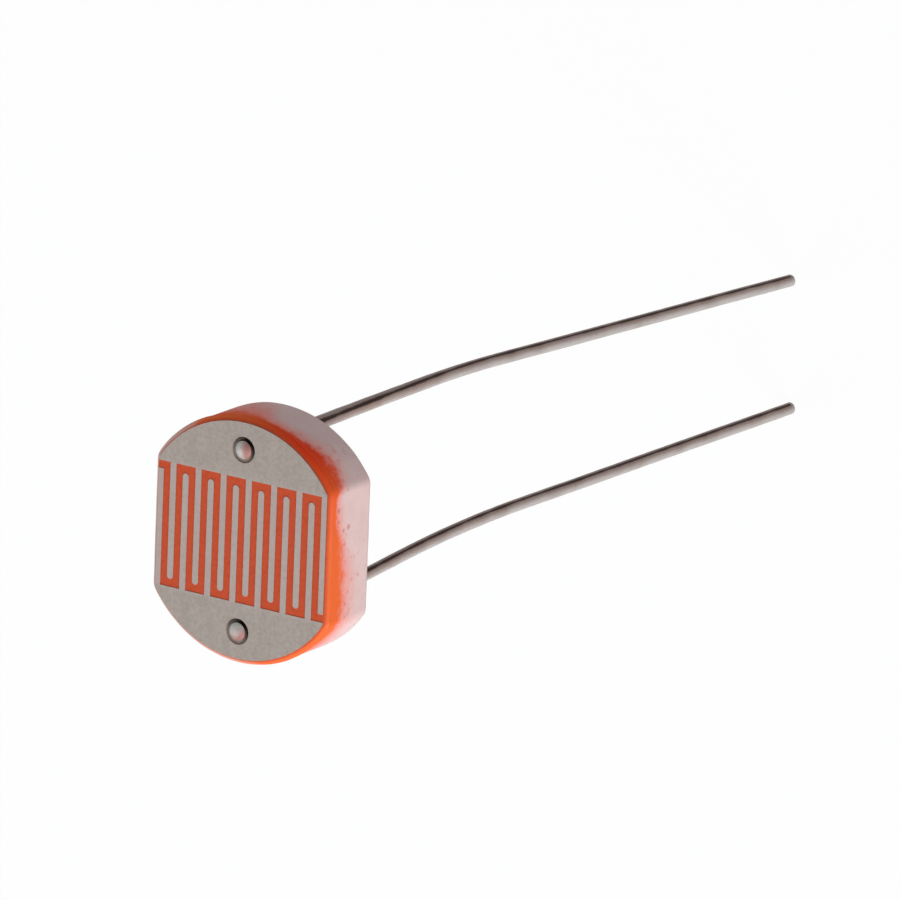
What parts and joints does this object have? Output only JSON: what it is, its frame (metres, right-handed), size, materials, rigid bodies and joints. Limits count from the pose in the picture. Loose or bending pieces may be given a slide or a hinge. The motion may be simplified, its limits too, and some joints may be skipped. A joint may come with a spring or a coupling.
{
  "type": "photoresistor",
  "caption": "Light-dependent resistor: a flatted ceramic disc with an orange light-sensitive film, interlocking comb electrodes on its face and long wire leads for soldering.",
  "frame": {"origin": "centre of the back face of the ceramic base, which seats towards a circuit board", "axes": "+Z out of the light-sensitive face, leads along -Z, +Y from the middle to the upper lead, +X across the flats"},
  "size_m": [0.0102, 0.012, 0.0476],
  "materials": {
    "ceramic": "fired, unglazed, pinkish white",
    "photoconductor": "sprayed and fired, matt orange-red",
    "electrode_metal": "evaporated, matt warm grey",
    "tinned_wire": "drawn and tinned, satin",
    "contact_cement": "conductive cement, dark and matt"
  },
  "bodies": {
    "root": {"ceramic_base": "ceramic", "photoconductor_film": "photoconductor", "upper_electrode": "electrode_metal", "lower_electrode": "electrode_metal", "upper_lead": "tinned_wire", "lower_lead": "tinned_wire", "upper_contact_cement": "contact_cement", "lower_contact_cement": "contact_cement"}
  },
  "joints": []
}
